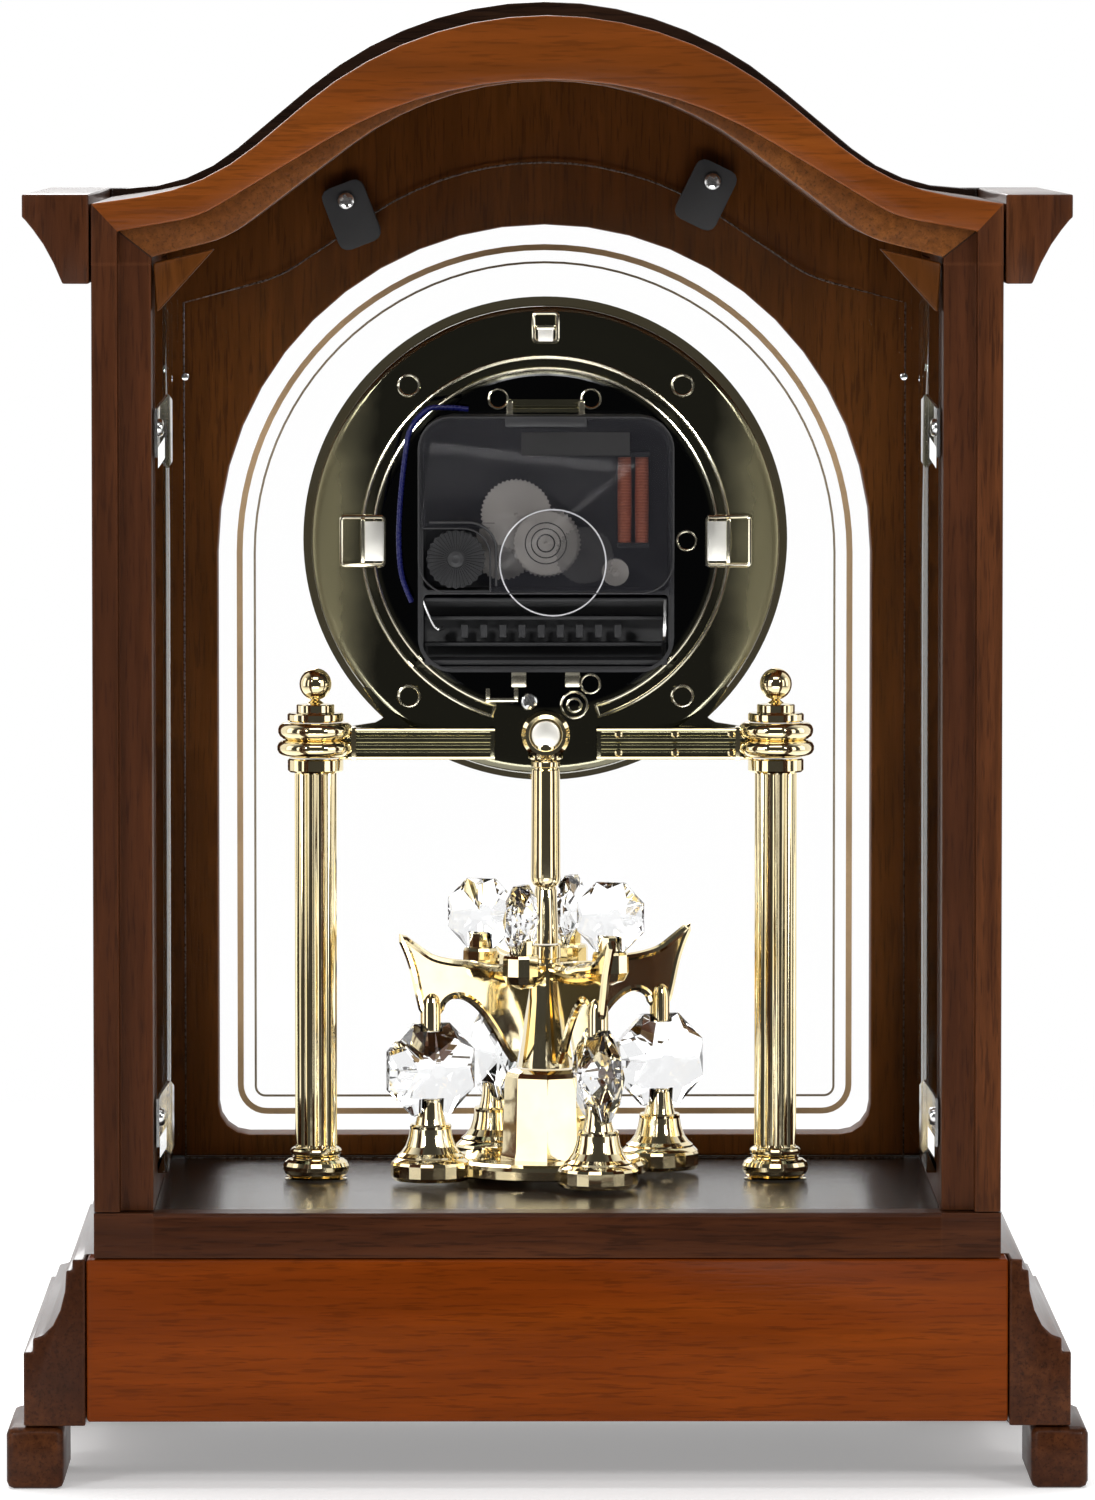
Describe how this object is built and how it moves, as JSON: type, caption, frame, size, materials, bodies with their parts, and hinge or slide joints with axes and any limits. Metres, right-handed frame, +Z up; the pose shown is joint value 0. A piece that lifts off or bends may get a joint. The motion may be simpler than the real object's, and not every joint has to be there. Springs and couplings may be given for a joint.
{
  "type": "mantel clock",
  "caption": "Arched wooden mantel clock with an open back, glazed front and sides, brass columns, quartz movement and a revolving crystal pendulum.",
  "frame": {"origin": "centre of the clock's footprint on the surface it stands on", "axes": "+Z up, the dial faces -Y and the open back faces +Y, +X to the right when seen from the front"},
  "size_m": [0.2318, 0.139, 0.3187],
  "materials": {
    "red_wood": "satin lacquer",
    "orange_wood": "gloss lacquer",
    "brown_wood": "satin lacquer",
    "dark_wood": "gloss lacquer",
    "clear_glass": "polished",
    "crystal": "cut and polished",
    "polished_brass": "polished and lacquered",
    "smoked_brass": "smoked, polished",
    "bright_steel": "bright",
    "black_plastic": "moulded",
    "smoke_plastic": "translucent moulded",
    "white_plastic": "moulded",
    "coil_copper": "enamelled winding",
    "blue_insulation": "insulated",
    "dial_paint": "satin paint",
    "hand_steel": "blackened"
  },
  "bodies": {
    "clock_case": {"base_moulding_left": "red_wood", "base_moulding_right": "red_wood", "base_moulding_front": "red_wood", "foot_rear_left": "red_wood", "foot_rear_right": "red_wood", "foot_front_left": "red_wood", "foot_front_right": "red_wood", "side_panel_left": "red_wood", "side_panel_right": "red_wood", "rear_apron": "orange_wood", "rear_arch_rail": "orange_wood", "front_board": "brown_wood", "corner_block_left": "brown_wood", "corner_block_right": "brown_wood", "floor_board": "dark_wood", "roof_block": "dark_wood", "front_pediment": "dark_wood", "side_cornice_left": "dark_wood", "side_cornice_right": "dark_wood", "front_glass": "clear_glass", "side_glass_left": "clear_glass", "side_glass_right": "clear_glass", "dial_lens": "clear_glass", "cross_beam": "polished_brass", "column_left": "polished_brass", "column_right": "polished_brass", "dial_bezel": "polished_brass", "dial_housing": "smoked_brass", "glass_clip_upper_left": "bright_steel", "glass_clip_upper_right": "bright_steel", "glass_clip_lower_left": "bright_steel", "glass_clip_lower_right": "bright_steel", "battery_contact": "bright_steel", "movement_case": "black_plastic", "movement_cover": "smoke_plastic", "coil": "coil_copper", "lead_wire": "blue_insulation", "dial_plate": "dial_paint"},
    "pendulum": {"pendulum_stem": "polished_brass", "pendulum_crown": "polished_brass", "pendulum_base": "polished_brass", "lower_crystal_1": "crystal", "lower_crystal_2": "crystal", "lower_crystal_3": "crystal", "lower_crystal_4": "crystal", "upper_crystal_1": "crystal", "upper_crystal_2": "crystal", "upper_crystal_3": "crystal", "upper_crystal_4": "crystal"},
    "minute_hand_body": {"minute_hand": "hand_steel"},
    "hour_hand_body": {"hour_hand": "hand_steel"},
    "minute_wheel_body": {"minute_wheel": "white_plastic"},
    "set_knob_body": {"set_knob": "black_plastic"},
    "center_wheel_body": {"center_wheel": "white_plastic"},
    "third_wheel_body": {"third_wheel": "white_plastic"},
    "seconds_wheel_body": {"seconds_wheel": "white_plastic"},
    "fifth_wheel_body": {"fifth_wheel": "white_plastic"},
    "rotor_body": {"rotor": "bright_steel"},
    "turn_button_left_body": {"turn_button_left": "black_plastic"},
    "turn_button_right_body": {"turn_button_right": "black_plastic"}
  },
  "joints": [
    {"name": "pendulum_spin", "type": "hinge", "parent": "clock_case", "child": "pendulum", "pos_m": [0, 0.003, 0.15], "axis": [0, 0, 1], "continuous": true},
    {"name": "minute_hand_turn", "type": "hinge", "parent": "clock_case", "child": "minute_hand_body", "pos_m": [0, 0, 0.2], "axis": [0, 1, 0], "continuous": true},
    {"name": "hour_hand_turn", "type": "hinge", "parent": "clock_case", "child": "hour_hand_body", "pos_m": [0, 0, 0.2], "axis": [0, 1, 0], "continuous": true},
    {"name": "minute_wheel_turn", "type": "hinge", "parent": "clock_case", "child": "minute_wheel_body", "pos_m": [0.00927, 0.004, 0.19845], "axis": [0, 1, 0], "continuous": true},
    {"name": "set_knob_turn", "type": "hinge", "parent": "clock_case", "child": "set_knob_body", "pos_m": [0.0197, 0.01, 0.1967], "axis": [0, 1, 0], "continuous": true},
    {"name": "rotor_turn", "type": "hinge", "parent": "clock_case", "child": "rotor_body", "pos_m": [-0.0152, 0.01, 0.1936], "axis": [0, 1, 0], "continuous": true},
    {"name": "fifth_wheel_turn", "type": "hinge", "parent": "clock_case", "child": "fifth_wheel_body", "pos_m": [-0.0085, 0.01, 0.1974], "axis": [0, 1, 0], "continuous": true},
    {"name": "seconds_wheel_turn", "type": "hinge", "parent": "clock_case", "child": "seconds_wheel_body", "pos_m": [0, 0.01, 0.2], "axis": [0, 1, 0], "continuous": true},
    {"name": "third_wheel_turn", "type": "hinge", "parent": "clock_case", "child": "third_wheel_body", "pos_m": [0.0065, 0.008, 0.20624], "axis": [0, 1, 0], "continuous": true},
    {"name": "center_wheel_turn", "type": "hinge", "parent": "clock_case", "child": "center_wheel_body", "pos_m": [0, 0.0058, 0.2], "axis": [0, 1, 0], "continuous": true},
    {"name": "turn_button_left_turn", "type": "hinge", "parent": "clock_case", "child": "turn_button_left_body", "pos_m": [0.0443, -0.036, 0.2743], "axis": [0, 1, 0], "range_deg": [-75, 45]},
    {"name": "turn_button_right_turn", "type": "hinge", "parent": "clock_case", "child": "turn_button_right_body", "pos_m": [-0.0374, -0.036, 0.2786], "axis": [0, 1, 0], "range_deg": [-45, 80]}
  ],
  "couplings": [
    {"joint": "hour_hand_turn", "follows": "minute_hand_turn", "ratio": 0.083333},
    {"joint": "minute_wheel_turn", "follows": "minute_hand_turn", "ratio": -0.33333},
    {"joint": "set_knob_turn", "follows": "minute_hand_turn", "ratio": 0.66667},
    {"joint": "fifth_wheel_turn", "follows": "rotor_turn", "ratio": -0.16667},
    {"joint": "seconds_wheel_turn", "follows": "rotor_turn", "ratio": 0.033333},
    {"joint": "third_wheel_turn", "follows": "rotor_turn", "ratio": -0.0041667},
    {"joint": "center_wheel_turn", "follows": "rotor_turn", "ratio": 0.00055556}
  ]
}
